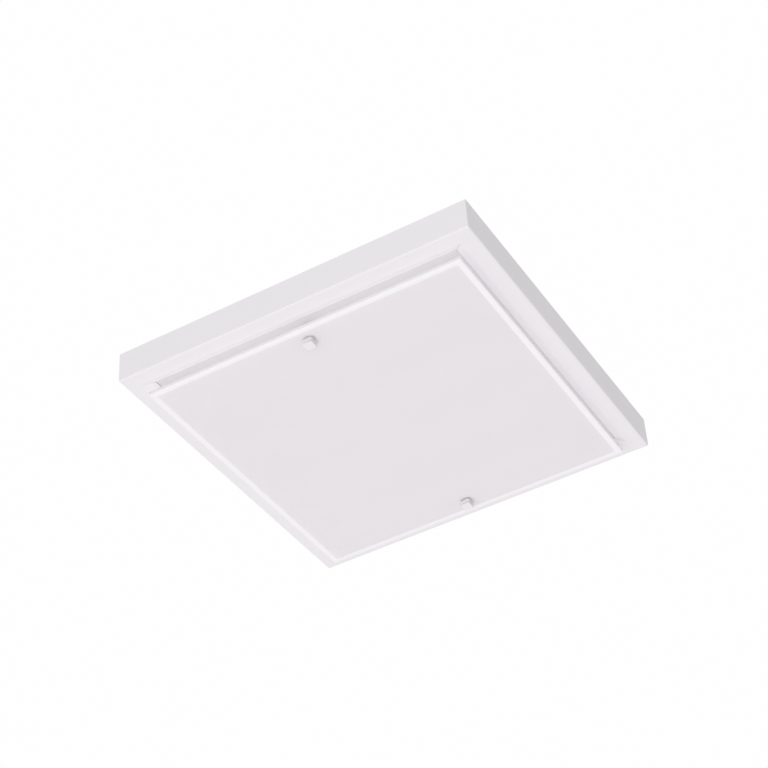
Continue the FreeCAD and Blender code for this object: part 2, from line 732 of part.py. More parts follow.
def make_earth_point():
    """Earth stud riveted in the back, ring tag with its crimp barrel, washer and nut."""
    x, y = "terminal_x", "earth_y"
    stud = rod_hole("earth_stud", "earth_stud - 2 * press_fit", "earth_stud_length",
                    (x, y, "-earth_stud_length"))
    as_node(stud, "earth_stud")
    bore = "earth_stud + 2 * hole_fit"
    ring = tube("earth_tag_ring", "earth_tag_diameter", bore, "earth_tag_thickness",
                (x, y, "-sheet - earth_tag_thickness"))
    barrel = block("earth_tag_barrel", "earth_tag_height + 0.6", "earth_tag_length / 2", "earth_tag_height",
                   (x, "%s + earth_tag_diameter / 2 + earth_tag_length / 4 - 0.4" % y,
                    "-sheet - earth_tag_height"))
    tag = doc.addObject("Part::MultiFuse", "earth_tag")
    tag.Shapes = [ring, barrel]
    as_node(tag, "earth_tag")
    washer_level = "-earth_nut_level"
    as_node(tube("earth_washer", "earth_washer_diameter", bore, "earth_washer_thickness",
                 (x, y, washer_level)), "earth_washer")
    hexagon = bind(doc.addObject("Part::Prism", "earth_nut_blank"),
                   {"Circumradius": "earth_nut_width / 2 / cos(30 deg)", "Height": "earth_nut_height"})
    hexagon.Polygon = 6
    place(hexagon, (x, y, washer_level + " - earth_nut_height"))
    thread = rod_hole("earth_nut_thread", "earth_stud + 2 * screw_fit", "earth_nut_height",
                      (x, y, washer_level + " - earth_nut_height"))
    cut_from("earth_nut", hexagon, [thread])


def bent_lead(label, route, diameter, bend):
    """Round lead along straight runs joined by tangent arcs of one bend radius."""
    points = [FreeCAD.Vector(*point) for point in route]
    edges = []
    start = points[0]
    length = 0.0
    for before, corner, after in zip(points, points[1:], points[2:]):
        into = (corner - before).normalize()
        out = (after - corner).normalize()
        turn = into.getAngle(out)
        trim = bend * math.tan(turn / 2)
        arc_start = corner - into * trim
        arc_end = corner + out * trim
        to_centre = (out - into).normalize()
        middle = corner + to_centre * (bend / math.cos(turn / 2) - bend)
        edges.append(Part.LineSegment(start, arc_start).toShape())
        edges.append(Part.Arc(arc_start, middle, arc_end).toShape())
        length += (arc_start - start).Length + bend * turn
        start = arc_end
    edges.append(Part.LineSegment(start, points[-1]).toShape())
    length += (points[-1] - start).Length
    path = Part.Wire(edges)
    heading = (points[1] - points[0]).normalize()
    section = Part.Wire([Part.Circle(points[0], heading, diameter / 2).toShape()])
    shape = path.makePipeShell([section], True, False)
    expected = math.pi * diameter ** 2 / 4 * length
    if abs(shape.Volume / expected - 1) > 0.01:
        raise RuntimeError(label + " is not a full tube")
    print("%s: %.0f mm long, bends of %.0f mm radius" % (label, length, bend))
    item = doc.addObject("Part::Feature", label)
    item.Shape = shape
    return as_node(item, label)


def make_leads():
    """Leads held inside: mains side from the terminals, light side to the first board."""
    level = -size("lead_level")
    driver_right = size("driver_x") + size("driver_reach")
    driver_left = size("driver_x") - size("driver_reach")
    port_end = size("terminal_y") - size("terminal_depth") / 2 + size("terminal_port_depth")
    wire, bend = size("lead_diameter"), size("lead_bend")
    for name, row_sign, pole_sign in (("lead_live", 1, -1), ("lead_neutral", -1, 1)):
        row = size("driver_y") + row_sign * size("lead_pitch") / 2
        pole = size("terminal_x") + pole_sign * size("terminal_pitch")
        bent_lead(name, [(driver_right, row, level), (pole, row, level), (pole, port_end, level)],
                  wire, bend)
    barrel_end = size("earth_y") + size("earth_tag_diameter") / 2 + size("earth_tag_length") / 2 - 0.4
    barrel_level = -size("sheet") - size("earth_tag_height") / 2
    run = (port_end - barrel_end) / 3
    pole = size("terminal_x")
    bent_lead("lead_earth", [(pole, port_end, level), (pole, port_end - run, level),
                             (pole, barrel_end + run, barrel_level), (pole, barrel_end, barrel_level)],
              wire, bend)
    light_wire, light_bend = size("light_lead_diameter"), size("light_lead_bend")
    plug_level = -size("plug_level")
    first_row = -size("board_spacing") * (BOARD_COUNT - 1) / 2
    plug_face = first_row + size("board_width") / 2
    for name, side in (("lead_light_plus", 1), ("lead_light_minus", -1)):
        row = size("driver_y") - size("light_lead_pitch") + side * size("light_lead_pitch") / 2
        drop = -size("plug_offset") + side * size("jumper_pitch") / 2
        bent_lead(name, [(driver_left, row, level), (drop, row, level), (drop, row, plug_level),
                         (drop, plug_face, plug_level)], light_wire, light_bend)


def check_and_export():
    doc.recompute()
    for item in doc.Objects:
        if "Invalid" in item.State or "Error" in item.State:
            raise RuntimeError("%s failed: %s" % (item.Name, item.State))
    os.makedirs("parts", exist_ok=True)
    for item in nodes:
        if item.Shape.isNull() or not item.Shape.isValid():
            raise RuntimeError(item.Label + " has no valid shape")
    for item in nodes:
        item.Shape.exportStep("parts/%s.step" % item.Label)
        print("%-24s solids %2d  volume %10.1f" % (item.Label, len(item.Shape.Solids), item.Shape.Volume))


make_housing()
make_entry_bush()
make_posts()
make_glass()
make_glass_seats()
for knob_side, knob_row in POST_ROWS.items():
    make_knob(knob_side, knob_row)
make_standoffs()
make_tray()
make_tray_bush()
make_boards()
make_driver()
make_terminal_block()
make_earth_point()
make_leads()
check_and_export()
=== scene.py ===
import json
import math

import bmesh
import bpy
from mathutils import Matrix, Vector


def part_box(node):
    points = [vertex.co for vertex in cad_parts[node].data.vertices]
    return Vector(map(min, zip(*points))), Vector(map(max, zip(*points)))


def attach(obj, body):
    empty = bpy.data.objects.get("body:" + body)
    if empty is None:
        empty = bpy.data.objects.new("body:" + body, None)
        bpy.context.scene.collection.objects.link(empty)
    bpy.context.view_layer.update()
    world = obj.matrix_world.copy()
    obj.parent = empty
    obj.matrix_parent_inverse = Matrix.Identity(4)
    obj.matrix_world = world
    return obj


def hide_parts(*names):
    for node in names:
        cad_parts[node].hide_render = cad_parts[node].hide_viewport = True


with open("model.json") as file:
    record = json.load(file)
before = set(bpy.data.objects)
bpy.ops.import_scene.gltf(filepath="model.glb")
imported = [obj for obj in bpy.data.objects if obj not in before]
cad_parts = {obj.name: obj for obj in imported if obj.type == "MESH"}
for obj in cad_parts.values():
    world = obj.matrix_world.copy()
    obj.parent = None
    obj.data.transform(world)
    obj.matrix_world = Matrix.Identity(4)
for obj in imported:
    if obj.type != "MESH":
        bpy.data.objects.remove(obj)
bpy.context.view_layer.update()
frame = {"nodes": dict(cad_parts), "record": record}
NODES = frame["nodes"]
SLOT_OF = {entry["node"]: entry["material_slot"] for entry in frame["record"]["subparts"]}
BODY_OF = {name: body for body, names in frame["record"]["behaviour"]["bodies"].items()
           for name in names}

MM = 0.001
WHITE = (1.0, 0.994, 1.0, 1.0)

# Noise gives few values outside this band, so the band is taken to the whole range.
NOISE_LOW, NOISE_HIGH = 0.3, 0.7

GLASS_IOR = 1.52
OPAL_DEPTH = 8 * MM
FIELD_SCATTER = 1.0
BORDER_SCATTER = 0.2


# ---------------------------------------------------------------- materials

class Graph:
    """Short calls for building one material's nodes."""

    def __init__(self, name):
        self.material = bpy.data.materials.new(name)
        self.material.use_nodes = True
        self.tree = self.material.node_tree
        self.shader = self.tree.nodes["Principled BSDF"]
        self.place = self.add("ShaderNodeTexCoord").outputs["Object"]

    def add(self, kind, **settings):
        node = self.tree.nodes.new(kind)
        for key, value in settings.items():
            setattr(node, key, value)
        return node

    def link(self, source, target):
        if isinstance(source, bpy.types.NodeSocket):
            self.tree.links.new(source, target)
        else:
            target.default_value = source

    def math(self, operation, *values):
        node = self.add("ShaderNodeMath", operation=operation)
        for socket, value in zip(node.inputs, values):
            self.link(value, socket)
        return node.outputs[0]

    def weighted(self, first, first_share, second, second_share):
        """Sum of two values, each times its share."""
        return self.math("ADD", self.math("MULTIPLY", first, first_share),
                         self.math("MULTIPLY", second, second_share))

    def noise(self, scale, detail=3.0, roughness=0.55, stretch=None):
        node = self.add("ShaderNodeTexNoise")
        node.inputs["Scale"].default_value = scale
        node.inputs["Detail"].default_value = detail
        node.inputs["Roughness"].default_value = roughness
        source = self.place
        if stretch:
            mapping = self.add("ShaderNodeMapping")
            mapping.inputs["Scale"].default_value = stretch
            self.link(source, mapping.inputs["Vector"])
            source = mapping.outputs[0]
        self.link(source, node.inputs["Vector"])
        return node.outputs[0]

    def spread(self, value, low, high):
        """The noise band taken to low..high."""
        node = self.add("ShaderNodeMapRange")
        for socket, number in zip(node.inputs, (value, NOISE_LOW, NOISE_HIGH, low, high)):
            self.link(number, socket)
        return node.outputs[0]

    def paint(self, factor, first, second):
        """Base colour that goes from the first to the second with the factor."""
        node = self.add("ShaderNodeMix", data_type="RGBA")
        self.link(factor, node.inputs["Factor"])
        self.link(first, node.inputs["A"])
        self.link(second, node.inputs["B"])
        self.link(node.outputs["Result"], self.shader.inputs["Base Color"])

    def roughen(self, value, low, high):
        self.link(self.spread(value, low, high), self.shader.inputs["Roughness"])

    def level(self):
        """Height of the point shaded."""
        node = self.add("ShaderNodeSeparateXYZ")
        self.link(self.place, node.inputs[0])
        return node.outputs["Z"]

    def bump(self, height, strength, distance):
        node = self.add("ShaderNodeBump")
        node.inputs["Strength"].default_value = strength
        node.inputs["Distance"].default_value = distance
        self.link(height, node.inputs["Height"])
        self.link(node.outputs[0], self.shader.inputs["Normal"])

    def set(self, **values):
        for key, value in values.items():
            self.shader.inputs[key.replace("_", " ")].default_value = value


def tint(colour, factor):
    return tuple(min(1.0, channel * factor) for channel in colour) + (1.0,)


def surface(name, colour, rough, grain=900.0, lift=0.15, vary=0.012, **extra):
    """A material with fine relief, slow drifts of tone and uneven gloss."""
    graph = Graph(name)
    drift = graph.noise(9.0, 2.0)
    fine = graph.noise(grain)
    tone = graph.spread(graph.weighted(drift, 0.7, fine, 0.3), 0.0, 1.0)
    graph.paint(tone, tint(colour, 1 - vary), tint(colour, 1 + vary))
    graph.roughen(fine, rough - 0.05, rough + 0.05)
    graph.bump(fine, lift, 0.05 * MM)
    graph.set(**extra)
    return graph.material


def powder_coat(name, colour, rough):
    """White powder coat: fine orange peel with a faint sheen."""
    graph = Graph(name)
    peel = graph.noise(520.0, 2.0, 0.5)
    grit = graph.noise(2600.0, 2.0, 0.6)
    drift = graph.noise(7.0, 2.0)
    graph.paint(graph.spread(drift, 0.0, 1.0), tint(colour, 0.992), tint(colour, 1.006))
    graph.roughen(grit, rough - 0.05, rough + 0.06)
    graph.bump(graph.weighted(peel, 1.0, grit, 0.25), 0.12, 0.06 * MM)
    graph.set(Specular_IOR_Level=0.5)
    return graph.material


def satin_glass(name, colour):
    """Etched face of the glass: even and soft, with a trace of grain."""
    graph = Graph(name)
    grain = graph.noise(3800.0, 2.0, 0.6)
    cloud = graph.noise(5.0, 1.0)
    graph.paint(graph.spread(cloud, 0.0, 1.0), tint(colour, 0.997), tint(colour, 1.003))
    graph.roughen(grain, 0.52, 0.60)
    graph.bump(grain, 0.08, 0.02 * MM)
    graph.set(IOR=GLASS_IOR, Subsurface_Weight=FIELD_SCATTER, Subsurface_Scale=OPAL_DEPTH,
              Subsurface_Radius=(1.0, 1.0, 1.0))
    return graph.material


def polished_glass(name, colour):
    """Polished glass, for the border and for the edges."""
    graph = Graph(name)
    ripple = graph.noise(60.0, 2.0)
    graph.paint(graph.spread(ripple, 0.0, 1.0), tint(colour, 0.996), tint(colour, 1.004))
    graph.roughen(ripple, 0.03, 0.07)
    graph.bump(ripple, 0.02, 0.1 * MM)
    graph.set(IOR=GLASS_IOR, Subsurface_Weight=BORDER_SCATTER, Subsurface_Scale=OPAL_DEPTH,
              Coat_Weight=0.6, Coat_Roughness=0.03, Subsurface_Radius=(1.0, 1.0, 1.0))
    return graph.material


def zinc(name):
    """Zinc plate: fine drawn lines with pale and dark flecks."""
    graph = Graph(name)
    lines = graph.noise(700.0, stretch=(1.0, 1.0, 0.08))
    flecks = graph.noise(2300.0, 2.0)
    both = graph.weighted(lines, 0.6, flecks, 0.4)
    graph.paint(graph.spread(both, 0.0, 1.0), (0.58, 0.59, 0.61, 1), (0.78, 0.79, 0.80, 1))
    graph.roughen(both, 0.26, 0.42)
    graph.bump(lines, 0.1, 0.04 * MM)
    graph.set(Metallic=1.0)
    return graph.material


def striped_lead(name, first, second, middle):
    """Insulation in two colours along the lead, split at its middle level."""
    graph = Graph(name)
    side = graph.math("GREATER_THAN", graph.level(), middle)
    fine = graph.noise(1500.0, 2.0)
    graph.paint(side, tint(first, 1.0), tint(second, 1.0))
    graph.roughen(fine, 0.38, 0.5)
    graph.bump(fine, 0.1, 0.03 * MM)
    return graph.material


PAINT = (0.84, 0.82, 0.84)
YELLOW = (0.75, 0.62, 0.04)
GREEN = (0.05, 0.3, 0.08)
EARTH_LEAD_MIDDLE = -10 * MM
FINISHES = {
    "white_paint": powder_coat("white_paint", PAINT, 0.48),
    # The tray's grey is painted shade: the tray is white paint like the housing, darkened here to
    # stand for the shade it lies in behind the lip and the glass.
    "tray_white": powder_coat("tray_white", (0.68, 0.67, 0.68), 0.6),
    "white_glass": satin_glass("white_glass", (0.755, 0.735, 0.755)),
    "knob_white": powder_coat("knob_white", PAINT, 0.42),
    "zinc_steel": zinc("zinc_steel"),
    "tinned_brass": surface("tinned_brass", (0.75, 0.72, 0.62), 0.3, 1200.0, Metallic=1.0),
    "clear_nylon": surface("clear_nylon", (0.80, 0.79, 0.80), 0.42, 1500.0),
    "grey_rubber": surface("grey_rubber", (0.18, 0.18, 0.19), 0.72, 1700.0, 0.25, 0.05),
    "board_white": surface("board_white", (0.82, 0.82, 0.82), 0.4, 2000.0, 0.1, 0.01),
    "chip_yellow": surface("chip_yellow", (0.85, 0.72, 0.25), 0.3, 2400.0, 0.1, 0.03),
    "plug_white": surface("plug_white", (0.82, 0.82, 0.8), 0.3, 1500.0, 0.08),
    "lead_white": surface("lead_white", (0.8, 0.8, 0.8), 0.45, 1500.0, 0.1),
    "lead_brown": surface("lead_brown", (0.22, 0.1, 0.05), 0.45, 1500.0, 0.1, 0.05),
    "lead_blue": surface("lead_blue", (0.05, 0.17, 0.5), 0.45, 1500.0, 0.1, 0.05),
    "lead_green_yellow": striped_lead("lead_green_yellow", YELLOW, GREEN, EARTH_LEAD_MIDDLE),
    "driver_plastic": surface("driver_plastic", (0.8, 0.8, 0.8), 0.55, 1100.0, 0.3),
    "terminal_plastic": surface("terminal_plastic", (0.8, 0.79, 0.75), 0.5, 1300.0, 0.2),
    "circuit_green": surface("circuit_green", (0.05, 0.22, 0.1), 0.35, 1900.0, 0.12, 0.06),
}
# The border's paler colour is partly painted reflection of the bright surround; the rest of its
# shine comes from its real polish and coat.
BORDER = polished_glass("glass_border", (0.91, 0.895, 0.91))
EDGE = polished_glass("glass_edge", (0.82, 0.805, 0.82))

for name, node in NODES.items():
    node.data.materials.clear()
    node.data.materials.append(FINISHES[SLOT_OF[name]])


# ---------------------------------------------------------------- drawing

NEAR = 0.01 * MM
WELD = 0.001 * MM
FLAT = 0.999
SHARP_EDGE = math.radians(35)
SOFT_EDGE = math.radians(60)
SAME_PLANE = math.radians(1)


def piece(name, mesh, body, slot, *nodes):
    """New piece at its place, carried by a body, and standing for CAD nodes."""
    made = bpy.data.objects.new(name, mesh)
    bpy.context.scene.collection.objects.link(made)
    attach(made, body)
    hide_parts(*nodes)


def mesh_of(shape, label, *materials):
    """Mesh of a drawn shape, which it uses up, with these materials."""
    mesh = bpy.data.meshes.new(label)
    shape.to_mesh(mesh)
    shape.free()
    for material in materials:
        mesh.materials.append(material)
    return mesh


def square_loop(shape, half, radius, level, steps=5):
    """Vertices round a square with rounded corners."""
    loop = []
    for corner in range(4):
        for step in range(steps + 1):
            turn = math.pi / 2 * (corner + step / steps)
            sx = 1 if corner in (0, 3) else -1
            sy = 1 if corner in (0, 1) else -1
            loop.append(shape.verts.new((sx * (half - radius) + radius * math.cos(turn),
                                         sy * (half - radius) + radius * math.sin(turn), level)))
    return loop


def round_loop(shape, x, y, radius, level, steps):
    return [shape.verts.new((x + radius * math.cos(2 * math.pi * i / steps),
                             y + radius * math.sin(2 * math.pi * i / steps), level))
            for i in range(steps)]


def bridge(shape, first, second, material=0):
    """Smooth strip of faces between two loops with as many vertices each."""
    count = len(first)
    for i in range(count):
        j = (i + 1) % count
        face = shape.faces.new((first[i], first[j], second[j], second[i]))
        face.material_index = material
        face.smooth = True


def bridge_all(shape, loops, material=0):
    for first, second in zip(loops, loops[1:]):
        bridge(shape, first, second, material)


def close_loops(shape, loops, material=0):
    """Flat face inside the first loop and outside the others."""
    edges = []
    for loop in loops:
        for i, vertex in enumerate(loop):
            pair = (vertex, loop[(i + 1) % len(loop)])
            edges.append(shape.edges.get(pair) or shape.edges.new(pair))
    made = bmesh.ops.triangle_fill(shape, use_beauty=True, use_dissolve=False, edges=edges)
    for face in made["geom"]:
        if isinstance(face, bmesh.types.BMFace):
            face.material_index = material


def welded(name):
    """The mesh of a CAD node with its faces joined along their edges."""
    shape = bmesh.new()
    shape.from_mesh(NODES[name].data)
    bmesh.ops.remove_doubles(shape, verts=shape.verts, dist=WELD)
    return shape


def smooth_curved_faces(shape):
    """Smooth shading on faces that don't lie square to an axis, and flat on the others."""
    for face in shape.faces:
        face.smooth = max(abs(part) for part in face.normal) < FLAT


def stand_in(shape, label, name):
    """Turns a drawn shape into the piece that stands for one CAD node."""
    bmesh.ops.recalc_face_normals(shape, faces=shape.faces)
    for edge in shape.edges:
        edge.smooth = edge.calc_face_angle(0.0) < SHARP_EDGE
    mesh = mesh_of(shape, label, FINISHES[SLOT_OF[name]])
    piece(label, mesh, BODY_OF[name], SLOT_OF[name], name)


# ---------------------------------------------------------------- glass plate

GLASS_CORNER = 1.2 * MM
GLASS_GRIND = 0.5 * MM
GLASS_BORDER = 6.5 * MM
GLASS_HOLE_RADIUS = 4.5 * MM
GRIND_STEPS = 4
HOLE_STEPS = 40
ON_FIELD, ON_BORDER, ON_EDGE = 0, 1, 2


def build_glass():
    """Opal glass plate: satin field, polished border, softly ground edges and two holes."""
    low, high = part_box("glass_diffuser")
    knob_low, knob_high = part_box("knob_rear")
    half, post_y = high.x, knob_low.y / 2 + knob_high.y / 2
    turns = [math.pi / 2 * step / GRIND_STEPS for step in range(GRIND_STEPS + 1)]
    profile = [(GLASS_GRIND * (1 - math.sin(turn)), low.z + GLASS_GRIND * (1 - math.cos(turn)))
               for turn in turns]
    profile += [(GLASS_GRIND * (1 - math.cos(turn)), high.z - GLASS_GRIND * (1 - math.sin(turn)))
                for turn in turns]
    shape = bmesh.new()
    rings = [square_loop(shape, half - inset, GLASS_CORNER, level) for inset, level in profile]
    bridge_all(shape, rings, ON_EDGE)
    field = square_loop(shape, half - GLASS_BORDER, GLASS_CORNER, low.z)
    bridge(shape, rings[0], field, ON_BORDER)
    holes = [[round_loop(shape, 0.0, side * post_y, GLASS_HOLE_RADIUS, level, HOLE_STEPS)
              for side in (-1, 1)] for level in (low.z, high.z)]
    for lower, upper in zip(*holes):
        bridge(shape, lower, upper, ON_EDGE)
    close_loops(shape, [field] + holes[0], ON_FIELD)
    close_loops(shape, [rings[-1]] + holes[1], ON_BORDER)
    bmesh.ops.recalc_face_normals(shape, faces=shape.faces)
    mesh = mesh_of(shape, "glass_plate", FINISHES["white_glass"], BORDER, EDGE)
    piece("glass_plate", mesh, "diffuser", "white_glass", "glass_diffuser")


# ---------------------------------------------------------------- housing

WALL_FOLD = 2.0 * MM
CREASE_FOLD = 6.0 * MM
LIP_ZONE = 8 * MM
CUT_ABOVE_LIP = 2 * MM


def reach(point):
    """Half the width of the square about the middle axis that the point lies on."""
    return max(abs(point.x), abs(point.y))


def bearing(vertex):
    return math.atan2(vertex.co.y, vertex.co.x)


def fold_arc(inset, level, radius, start, end, steps=8):
    """Points of a fold, as inset and level, about its centre line; angles in degrees."""
    points = []
    for step in range(steps + 1):
        turn = math.radians(start + (end - start) * step / steps)
        points.append((inset - radius * math.cos(turn), level - radius * math.sin(turn)))
    return points


def run_then_fold(points):
    """Marks the strip that leads to a fold as flat, and those of the fold as curved."""
    return [(*points[0], True)] + [(*point, False) for point in points[1:]]


def skirt(shape, loop, half, profile):
    """Rings below a loop, each a copy of it drawn in by its inset; returns the last one."""
    above = loop
    for inset, level, flat in profile:
        share = (half - inset) / half
        below = [shape.verts.new((v.co.x * share, v.co.y * share, level)) for v in loop]
        for i in range(len(loop)):
            j = (i + 1) % len(loop)
            face = shape.faces.new((above[i], above[j], below[j], below[i]))
            side = loop[j].co - loop[i].co
            straight = min(abs(side.x), abs(side.y)) < NEAR
            face.smooth = not (straight and flat)
        above = below
    return above


def build_housing():
    """Folded housing: its lower part is drawn again with the soft folds of bent sheet."""
    low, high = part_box("housing")
    half, foot = high.x, low.z
    shape = welded("housing")
    lower = [v.co.copy() for v in shape.verts if v.co.z < foot + LIP_ZONE]
    mouth = min(reach(v) for v in lower)
    crease = min(reach(v) for v in lower if v.z < foot + NEAR)
    inner_foot = min(v.z for v in lower if v.z > foot + NEAR)
    sheet = inner_foot - foot
    inner_crease = min(reach(v) for v in lower if abs(v.z - inner_foot) < NEAR)
    lip_low = min(v.z for v in lower if reach(v) < mouth + NEAR)
    lip_high = max(v.z for v in lower if reach(v) < mouth + NEAR)

    everything = shape.verts[:] + shape.edges[:] + shape.faces[:]
    cut = bmesh.ops.bisect_plane(shape, geom=everything, plane_co=(0, 0, lip_high + CUT_ABOVE_LIP),
                                 plane_no=(0, 0, 1), clear_inner=True)
    smooth_curved_faces(shape)
    rim = [v for v in cut["geom_cut"] if isinstance(v, bmesh.types.BMVert)]
    middle = half - sheet / 2
    outside = sorted((v for v in rim if reach(v.co) > middle), key=bearing)
    inside = sorted((v for v in rim if reach(v.co) <= middle), key=bearing)

    lip_angle = math.degrees(math.atan2(lip_low - foot, crease - mouth))
    trim = CREASE_FOLD * math.tan(math.radians(lip_angle / 2))
    outer = run_then_fold(fold_arc(WALL_FOLD, foot + WALL_FOLD, WALL_FOLD, 0, 90))
    outer += run_then_fold(fold_arc(half - crease - trim, foot + CREASE_FOLD, CREASE_FOLD,
                                    90, 90 + lip_angle))
    outer += [(half - mouth, lip_low, True)]
    inner = run_then_fold(fold_arc(WALL_FOLD, foot + WALL_FOLD, WALL_FOLD - sheet, 0, 90))
    inner += [(half - inner_crease, inner_foot, True), (half - mouth, lip_high, True)]
    inner = [(inset - sheet, level, flat) for inset, level, flat in inner]
    ends = []
    for ring in (skirt(shape, outside, half, outer), skirt(shape, inside, half - sheet, inner)):
        for i, vertex in enumerate(ring):
            ends.append(shape.edges.get((vertex, ring[(i + 1) % len(ring)])))
    bmesh.ops.bridge_loops(shape, edges=ends)
    bmesh.ops.recalc_face_normals(shape, faces=shape.faces)
    mesh = mesh_of(shape, "housing_shell", FINISHES["white_paint"])
    piece("housing_shell", mesh, "housing", "white_paint", "housing")


# ---------------------------------------------------------------- screws

# Lengths of a screw are shares of its head, shank or body, as its function says.
SCREW_STEPS = 24
DOME_STEPS = 5
DOME_FACE = 0.62
DOME_HEIGHT = 0.75
CROSS_REACH, CROSS_HALF_WIDTH, CROSS_DEPTH = 0.48, 0.12, 0.55
POINT_TAPER = 0.25
GRUB_ROUNDING = 0.15
SLOT_REACH, SLOT_HALF_WIDTH, SLOT_DEPTH = 0.72, 0.16, 0.25
DRIVE_TAPER = 0.8


def solids_of(shape):
    """Places of the vertices of each separate solid in a mesh."""
    left, found = set(shape.verts), []
    for seed in shape.verts:
        if seed not in left:
            continue
        left.discard(seed)
        solid, waiting = [seed], [seed]
        while waiting:
            for edge in waiting.pop().link_edges:
                for vertex in edge.verts:
                    if vertex in left:
                        left.discard(vertex)
                        solid.append(vertex)
                        waiting.append(vertex)
        found.append([vertex.co.copy() for vertex in solid])
    return found


def stance(solid):
    """Middle of an upright solid, and its lowest and highest level."""
    x = (min(v.x for v in solid) + max(v.x for v in solid)) / 2
    y = (min(v.y for v in solid) + max(v.y for v in solid)) / 2
    return x, y, min(v.z for v in solid), max(v.z for v in solid)


def cross_outline(reach_out, half_width):
    """Corners of a cross, anticlockwise."""
    points = []
    for quarter in range(4):
        turn = Matrix.Rotation(quarter * math.pi / 2, 2)
        for corner in ((reach_out, -half_width), (reach_out, half_width), (half_width, half_width)):
            points.append(turn @ Vector(corner))
    return points


def slot_outline(reach_out, half_width):
    """Corners of a straight slot, anticlockwise."""
    sides = ((1, -1), (1, 1), (-1, 1), (-1, -1))
    return [Vector((sx * reach_out, sy * half_width)) for sx, sy in sides]


def cut_drive(shape, x, y, face_loop, level, outline, depth):
    """Drive recess in the lower face of a screw, with sloping sides."""
    mouth = [shape.verts.new((x + point.x, y + point.y, level)) for point in outline]
    floor = [shape.verts.new((x + DRIVE_TAPER * point.x, y + DRIVE_TAPER * point.y, level + depth))
             for point in outline]
    close_loops(shape, [face_loop, mouth])
    bridge(shape, mouth, floor)
    close_loops(shape, [floor])


def draw_pan_screw(shape, solid):
    """Pan head screw with a cross recess; its head hangs below its shank."""
    x, y, low, top = stance(solid)
    radius_at = {v.z: math.hypot(v.x - x, v.y - y) for v in solid}
    head, shank = radius_at[low], radius_at[top]
    seat = min(v.z for v in solid if v.z > low + 10 * NEAR)
    height = seat - low
    dome = [round_loop(shape, x, y, head, seat, SCREW_STEPS)]
    for step in range(DOME_STEPS + 1):
        turn = math.pi / 2 * step / DOME_STEPS
        dome.append(round_loop(shape, x, y, head * (DOME_FACE + (1 - DOME_FACE) * math.cos(turn)),
                               low + DOME_HEIGHT * height * (1 - math.sin(turn)), SCREW_STEPS))
    bridge_all(shape, dome)
    cross = cross_outline(CROSS_REACH * head, CROSS_HALF_WIDTH * head)
    cut_drive(shape, x, y, dome[-1], low, cross, CROSS_DEPTH * height)
    neck = round_loop(shape, x, y, shank, seat, SCREW_STEPS)
    shoulder = round_loop(shape, x, y, shank, top - POINT_TAPER * shank, SCREW_STEPS)
    tip = round_loop(shape, x, y, (1 - POINT_TAPER) * shank, top, SCREW_STEPS)
    close_loops(shape, [dome[0], neck])
    bridge_all(shape, [neck, shoulder, tip])
    close_loops(shape, [tip])


def draw_grub_screw(shape, solid):
    """Slotted clamp screw with rounded rims."""
    x, y, low, top = stance(solid)
    radius = max(v.x for v in solid) - x
    rounding = GRUB_ROUNDING * radius
    rims = ((radius - rounding, low), (radius, low + rounding),
            (radius, top - rounding), (radius - rounding, top))
    loops = [round_loop(shape, x, y, size, level, SCREW_STEPS) for size, level in rims]
    bridge_all(shape, loops)
    slot = slot_outline(SLOT_REACH * radius, SLOT_HALF_WIDTH * radius)
    cut_drive(shape, x, y, loops[0], low, slot, SLOT_DEPTH * (top - low))
    close_loops(shape, [loops[-1]])


def build_screws(label, name, draw):
    """Screws drawn in detail, each where the node has a plain one."""
    source = welded(name)
    shape = bmesh.new()
    for solid in solids_of(source):
        draw(shape, solid)
    source.free()
    stand_in(shape, label, name)


# ---------------------------------------------------------------- softened nodes

def build_softened(label, name, width, shortest):
    """A node whose outer edges longer than the shortest are rounded by a small width."""
    shape = welded(name)
    bmesh.ops.dissolve_limit(shape, angle_limit=SAME_PLANE, verts=shape.verts, edges=shape.edges)
    sharp = [edge for edge in shape.edges if edge.is_convex and edge.calc_length() > shortest
             and edge.calc_face_angle(0.0) > SOFT_EDGE]
    bmesh.ops.bevel(shape, geom=sharp, offset=width, segments=2, profile=0.5,
                    affect="EDGES", clamp_overlap=True)
    bmesh.ops.triangulate(shape, faces=[face for face in shape.faces if len(face.verts) > 4])
    for face in shape.faces:
        face.normal_update()
    smooth_curved_faces(shape)
    stand_in(shape, label, name)


build_glass()
build_housing()
build_screws("tray_pan_screws", "tray_screws", draw_pan_screw)
build_screws("board_pan_screws", "board_screws", draw_pan_screw)
build_screws("driver_pan_screws", "driver_screws", draw_pan_screw)
build_screws("terminal_pan_screw", "terminal_fixing_screw", draw_pan_screw)
build_screws("terminal_grub_screws", "terminal_clamp_screws", draw_grub_screw)
build_softened("knob_front_cap", "knob_front", 0.3 * MM, 2.0 * MM)
build_softened("knob_rear_cap", "knob_rear", 0.3 * MM, 2.0 * MM)
build_softened("plug_bodies", "board_plugs", 0.3 * MM, 0.5 * MM)
build_softened("chip_lenses", "light_chips", 0.12 * MM, 0.5 * MM)
build_softened("driver_lid", "driver_cover", 0.5 * MM, 10.0 * MM)
build_softened("terminal_body", "terminal_block", 0.4 * MM, 8.0 * MM)


# ---------------------------------------------------------------- stage

FLOOR_LEVEL = -2.8
FLOOR_HALF = 6.0
SURROUND_LEVEL = 0.60
SUN_ANGLE = math.radians(60.0)
INNER_LAMP_SIZE = 355 * MM
INNER_LAMP_GAP = 0.4 * MM
LENS_LENGTH = 94.23
CAMERA_PLACE = (0.75366, -1.42780, -1.33703)
CAMERA_RIGHT = (0.85992, 0.50768, -0.05298)
CAMERA_UP = (0.36068, -0.53089, 0.76686)


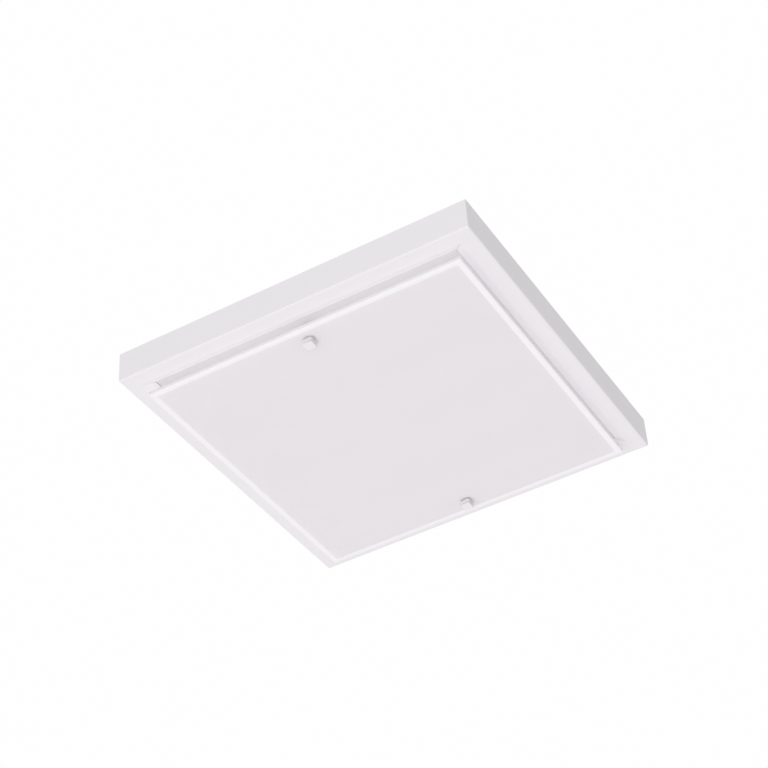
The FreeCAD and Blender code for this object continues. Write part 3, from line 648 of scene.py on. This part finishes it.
def build_floor(level, half, steps=8):
    """Plain pale floor far below the light."""
    mesh = bpy.data.meshes.new("floor")
    shape = bmesh.new()
    rows = [[shape.verts.new((half * (2 * i / steps - 1), half * (2 * j / steps - 1), level))
             for i in range(steps + 1)] for j in range(steps + 1)]
    for j in range(steps):
        for i in range(steps):
            shape.faces.new((rows[j][i], rows[j][i + 1], rows[j + 1][i + 1], rows[j + 1][i]))
    shape.to_mesh(mesh)
    shape.free()
    floor = bpy.data.objects.new("floor", mesh)
    bpy.context.scene.collection.objects.link(floor)
    floor.visible_shadow = False
    mesh.materials.append(surface("floor", (0.86, 0.855, 0.86), 0.85, 40.0, 0.05, 0.006))


def build_world(level):
    """Even surround: white to the eye and in reflections, and dimmer as a light."""
    world = bpy.data.worlds.new("surround")
    bpy.context.scene.world = world
    world.use_nodes = True
    tree = world.node_tree
    back = tree.nodes["Background"]
    back.inputs["Color"].default_value = WHITE
    path = tree.nodes.new("ShaderNodeLightPath")
    seen = path.outputs["Is Camera Ray"]
    for ray in ("Is Glossy Ray", "Is Transmission Ray"):
        either = tree.nodes.new("ShaderNodeMath")
        either.operation = "MAXIMUM"
        tree.links.new(seen, either.inputs[0])
        tree.links.new(path.outputs[ray], either.inputs[1])
        seen = either.outputs[0]
    strength = tree.nodes.new("ShaderNodeMapRange")
    strength.inputs["To Min"].default_value = level
    strength.inputs["To Max"].default_value = 1.0
    tree.links.new(seen, strength.inputs["Value"])
    tree.links.new(strength.outputs[0], back.inputs["Strength"])


def hang_lamp(name, kind, power, toward):
    """White lamp at the origin that shines along a direction."""
    lamp = bpy.data.lights.new(name, kind)
    lamp.energy = power
    lamp.color = WHITE[:3]
    carrier = bpy.data.objects.new(name, lamp)
    bpy.context.scene.collection.objects.link(carrier)
    carrier.rotation_euler = toward.to_track_quat("-Z", "Y").to_euler()
    return carrier


def soft_light(name, at, toward, size, power):
    """Square lamp at one point, turned to another."""
    carrier = hang_lamp(name, "AREA", power, Vector(toward) - Vector(at))
    carrier.data.shape = "SQUARE"
    carrier.data.size = size
    carrier.location = at
    carrier.visible_camera = False
    return carrier


def sun(name, toward, strength):
    """Broad even light travelling along the direction given."""
    hang_lamp(name, "SUN", strength, Vector(toward)).data.angle = SUN_ANGLE


def build_camera():
    """Camera at the photograph's viewing angle."""
    lens = bpy.data.cameras.new("camera")
    lens.sensor_width = 36.0
    lens.lens = LENS_LENGTH
    lens.clip_start = 0.05
    camera = bpy.data.objects.new("camera", lens)
    bpy.context.scene.collection.objects.link(camera)
    right = Vector(CAMERA_RIGHT).normalized()
    back = right.cross(Vector(CAMERA_UP)).normalized()
    turn = Matrix((right, back.cross(right), back)).transposed().to_4x4()
    camera.matrix_world = Matrix.Translation(CAMERA_PLACE) @ turn
    bpy.context.scene.camera = camera


build_floor(FLOOR_LEVEL, FLOOR_HALF)
build_world(SURROUND_LEVEL)
sun("key", (0.18, 0.55, 1.0), 1.05)
sun("overhead", (0.15, 0.2, -1.0), 0.8)
soft_light("front", (0.35, -1.4, -0.5), (0.0, -0.1, -0.03), 0.8, 1.9)
behind_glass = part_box("glass_diffuser")[1].z + INNER_LAMP_GAP
inner = soft_light("inner", (0.0, 0.0, behind_glass), (0.0, 0.0, 1.0), INNER_LAMP_SIZE, 0.20)
inner.visible_glossy = False
build_camera()
bpy.context.scene.view_settings.view_transform = "Standard"
